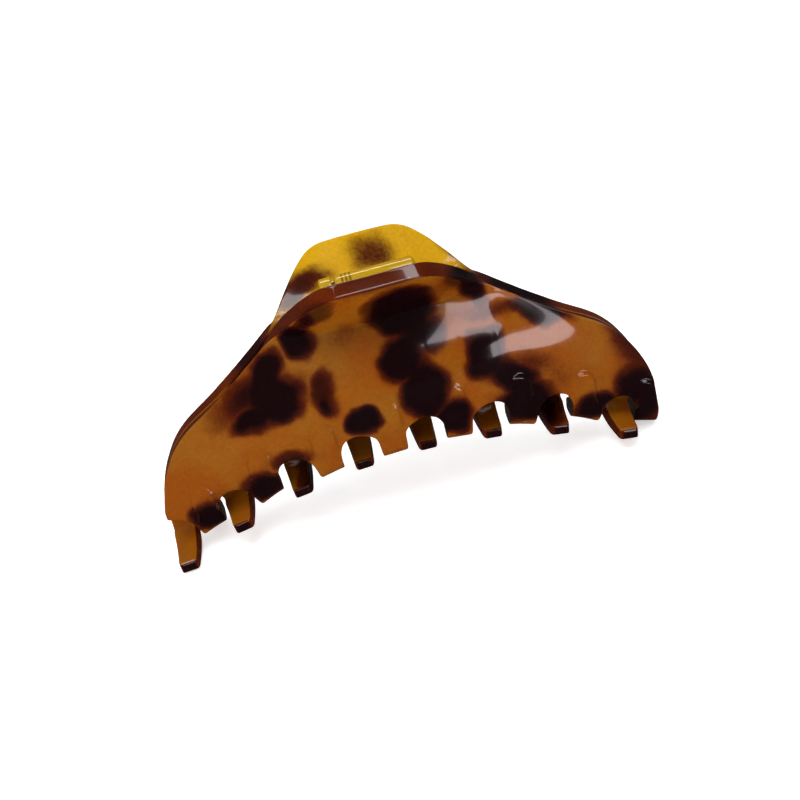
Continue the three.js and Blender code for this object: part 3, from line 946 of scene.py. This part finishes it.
class CLIP_OT_front_jaw(bpy.types.Operator):
    """Models the front jaw with its eight hooked teeth"""

    bl_idname = "clip.front_jaw"
    bl_label = "Front Jaw"

    def execute(self, context):
        colours = context.scene.clip_colours
        jaw = model_jaw(context.scene.clip_sizes, "jaw_front")
        face = tortoise_material(
            "tortoise_front", colours, FRONT_BLOTCHES, 0.0, 0.08, colours.amber, colours.honey)
        rim = tortoise_material(
            "rim_front", colours, FRONT_BLOTCHES, 0.0, 0.05, colours.rim, colours.rust)
        assign(jaw, face, rim)
        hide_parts("front_jaw")
        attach(jaw, "front")
        return {"FINISHED"}


class CLIP_OT_back_jaw(bpy.types.Operator):
    """Copies the front jaw and turns it half round as the back jaw"""

    bl_idname = "clip.back_jaw"
    bl_label = "Back Jaw"

    def execute(self, context):
        front = bpy.data.objects.get("jaw_front")
        if front is None:
            raise RuntimeError("model the front jaw first")
        colours = context.scene.clip_colours
        jaw = bpy.data.objects.new("jaw_back", front.data.copy())
        context.scene.collection.objects.link(jaw)
        jaw.data.transform(Matrix.Rotation(math.pi, 4, "Z"))
        face = tortoise_material(
            "tortoise_back", colours, BACK_BLOTCHES, 0.95, 0.08, colours.amber, colours.honey)
        rim = tortoise_material(
            "rim_back", colours, BACK_BLOTCHES, 0.0, 0.05, colours.rim, colours.rust)
        assign(jaw, face, rim)
        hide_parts("back_jaw")
        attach(jaw, "back")
        return {"FINISHED"}


class CLIP_OT_hinge(bpy.types.Operator):
    """Makes the clear hinge barrel and the short knuckle beside it"""

    bl_idname = "clip.hinge"
    bl_label = "Hinge"

    def execute(self, context):
        material = clear_amber_material("clear_amber", context.scene.clip_colours)
        for node, name, slot, body in (
            ("hinge_barrel", "barrel", "hinge_amber", "front"),
            ("hinge_knuckle", "knuckle", "knuckle_amber", "back"),
        ):
            piece = merged_copy(node, name, 35)
            soften = piece.modifiers.new("round_rims", "BEVEL")
            soften.width = 0.25 * MM
            soften.segments = 3
            soften.angle_limit = math.radians(50)
            apply_all(piece)
            bpy.ops.object.shade_smooth_by_angle(angle=math.radians(40))
            assign(piece, material)
            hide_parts(node)
            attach(piece, body)
        return {"FINISHED"}


class CLIP_OT_pin_and_spring(bpy.types.Operator):
    """Makes the steel pin and the coil spring inside the hinge"""

    bl_idname = "clip.pin_and_spring"
    bl_label = "Pin and Spring"

    def execute(self, context):
        colours = context.scene.clip_colours
        pin = merged_copy("hinge_pin", "pin", 35)
        assign(pin, steel_material("drawn_steel", colours, 0.2))
        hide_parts("hinge_pin")
        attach(pin, "front")
        spring = merged_copy("torsion_spring", "spring", 60)
        assign(spring, steel_material("spring_wire", colours, 0.25))
        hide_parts("torsion_spring")
        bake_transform(spring)
        return {"FINISHED"}


# Camera and lights, in millimetres and degrees around the clip's middle
VIEW_CENTRE = Vector((0, 0, 25.8))
VIEW_DISTANCE = 240
VIEW_TURN = 2.0
VIEW_RISE = 22.2
VIEW_ROLL = 14.3
SENSOR = 36
FOCAL_LENGTH = 57.33
CAMERA_SHIFT = (0.012, -0.041)

# Softboxes: name, turn, rise, distance, width, height, roll, strength, use
SOFTBOXES = (
    ("overhead", -20, 70, 700, 600, 500, 0, 3.0, "lights"),
    ("front_fill", -25, 25, 800, 600, 500, 0, 2.2, "lights"),
    ("right_box", 42, -1, 600, 170, 190, 0, 4.2, "reflects"),
    ("shoulder_strip", 30, 24, 600, 60, 330, 42, 4.2, "reflects"),
    ("high_right", 50, 55, 600, 300, 360, -25, 4.0, "reflects"),
    ("high_left", -45, 64, 600, 130, 130, 0, 3.0, "reflects"),
    ("rim_streak", 0, 56, 600, 420, 30, 0, 5.0, "reflects"),
    ("rim_strip", 180, 62, 600, 600, 90, 0, 7.0, "reflects"),
)
TINTED_BOXES = ("right_box", "shoulder_strip")
BOX_TINT = (1.0, 0.92, 0.95)


def direction(turn, rise):
    """Unit vector from the clip towards a light, turned from straight in front to the right."""
    across, up = math.radians(turn), math.radians(rise)
    return Vector((math.sin(across) * math.cos(up), -math.cos(across) * math.cos(up), math.sin(up)))


def add_softbox(name, turn, rise, distance, width, height, roll, strength, use):
    """A rectangular light facing the clip, which lights it or is only reflected in its polish."""
    away = direction(turn, rise)
    place = (VIEW_CENTRE + away * distance) * MM
    facing = away.to_track_quat("Z", "Y").to_matrix().to_4x4()
    facing = facing @ Matrix.Rotation(math.radians(roll), 4, "Z")
    bpy.ops.object.light_add(type="AREA", location=place, rotation=facing.to_euler())
    light = bpy.context.object
    light.name = name
    light.data.shape = "RECTANGLE"
    light.data.size = width * MM
    light.data.size_y = height * MM
    light.data.energy = strength * math.pi * width * height * MM * MM
    light.visible_camera = False
    light.visible_glossy = use == "reflects"
    light.visible_diffuse = use == "lights"
    return light


class CLIP_OT_stage(bpy.types.Operator):
    """Sets the floor, the lights and the camera"""

    bl_idname = "clip.stage"
    bl_label = "Stage"

    def execute(self, context):
        start_clean()
        bpy.ops.mesh.primitive_plane_add(size=8)
        floor = context.object
        floor.name = "floor"
        assign(floor, floor_material("white_sweep"))

        for name, *settings in SOFTBOXES:
            box = add_softbox(name, *settings)
            if name in TINTED_BOXES:
                box.data.color = BOX_TINT
        bpy.ops.object.light_add(type="SUN", location=(0, 0, 1))
        wash = context.object
        wash.name = "sky_wash"
        wash.data.energy = 2.0
        wash.data.angle = math.radians(120)
        wash.visible_glossy = False

        world = bpy.data.worlds.new("studio")
        context.scene.world = world
        world.use_nodes = True
        tree = world.node_tree
        background = tree.nodes["Background"]
        background.inputs["Color"].default_value = (1, 1, 1, 1)
        seen = add_node(tree, "ShaderNodeLightPath")
        brightness = add_node(tree, "ShaderNodeMapRange")
        brightness.inputs["To Min"].default_value = 0.03
        brightness.inputs["To Max"].default_value = 1.0
        tree.links.new(seen.outputs["Is Camera Ray"], brightness.inputs["Value"])
        tree.links.new(brightness.outputs["Result"], background.inputs["Strength"])
        context.scene.view_settings.view_transform = "Standard"

        away = direction(-VIEW_TURN, VIEW_RISE)
        right = Vector((-away.y, away.x, 0)).normalized()
        up = away.cross(right)
        roll = math.radians(VIEW_ROLL)
        across = right * math.cos(roll) - up * math.sin(roll)
        upright = right * math.sin(roll) + up * math.cos(roll)
        axes = Matrix((across, upright, away)).transposed()
        bpy.ops.object.camera_add(
            location=(VIEW_CENTRE + away * VIEW_DISTANCE) * MM, rotation=axes.to_euler())
        camera = context.object
        camera.name = "camera"
        camera.data.sensor_width = SENSOR
        camera.data.lens = FOCAL_LENGTH
        camera.data.shift_x, camera.data.shift_y = CAMERA_SHIFT
        camera.data.clip_start = 0.005
        context.scene.camera = camera
        return {"FINISHED"}


class CLIP_PT_panel(bpy.types.Panel):
    """Sizes, colours and steps of the claw clip"""

    bl_label = "Claw Clip"
    bl_idname = "CLIP_PT_panel"
    bl_space_type = "VIEW_3D"
    bl_region_type = "UI"
    bl_category = "Claw Clip"

    def draw(self, context):
        layout = self.layout
        for settings in (context.scene.clip_sizes, context.scene.clip_colours):
            box = layout.box()
            for name in settings.__annotations__:
                box.prop(settings, name)
        for operator in OPERATORS:
            layout.operator(operator.bl_idname)


OPERATORS = (CLIP_OT_front_jaw, CLIP_OT_back_jaw, CLIP_OT_hinge, CLIP_OT_pin_and_spring, CLIP_OT_stage)
CLASSES = (ClipSizes, ClipColours, *OPERATORS, CLIP_PT_panel)


def register():
    for cls in CLASSES:
        bpy.utils.register_class(cls)
    bpy.types.Scene.clip_sizes = PointerProperty(type=ClipSizes)
    bpy.types.Scene.clip_colours = PointerProperty(type=ClipColours)


def unregister():
    del bpy.types.Scene.clip_colours
    del bpy.types.Scene.clip_sizes
    for cls in reversed(CLASSES):
        bpy.utils.unregister_class(cls)


def main():
    register()
    bpy.ops.clip.front_jaw()
    bpy.ops.clip.back_jaw()
    bpy.ops.clip.hinge()
    bpy.ops.clip.pin_and_spring()
    bpy.ops.clip.stage()


if __name__ == "__main__":
    main()
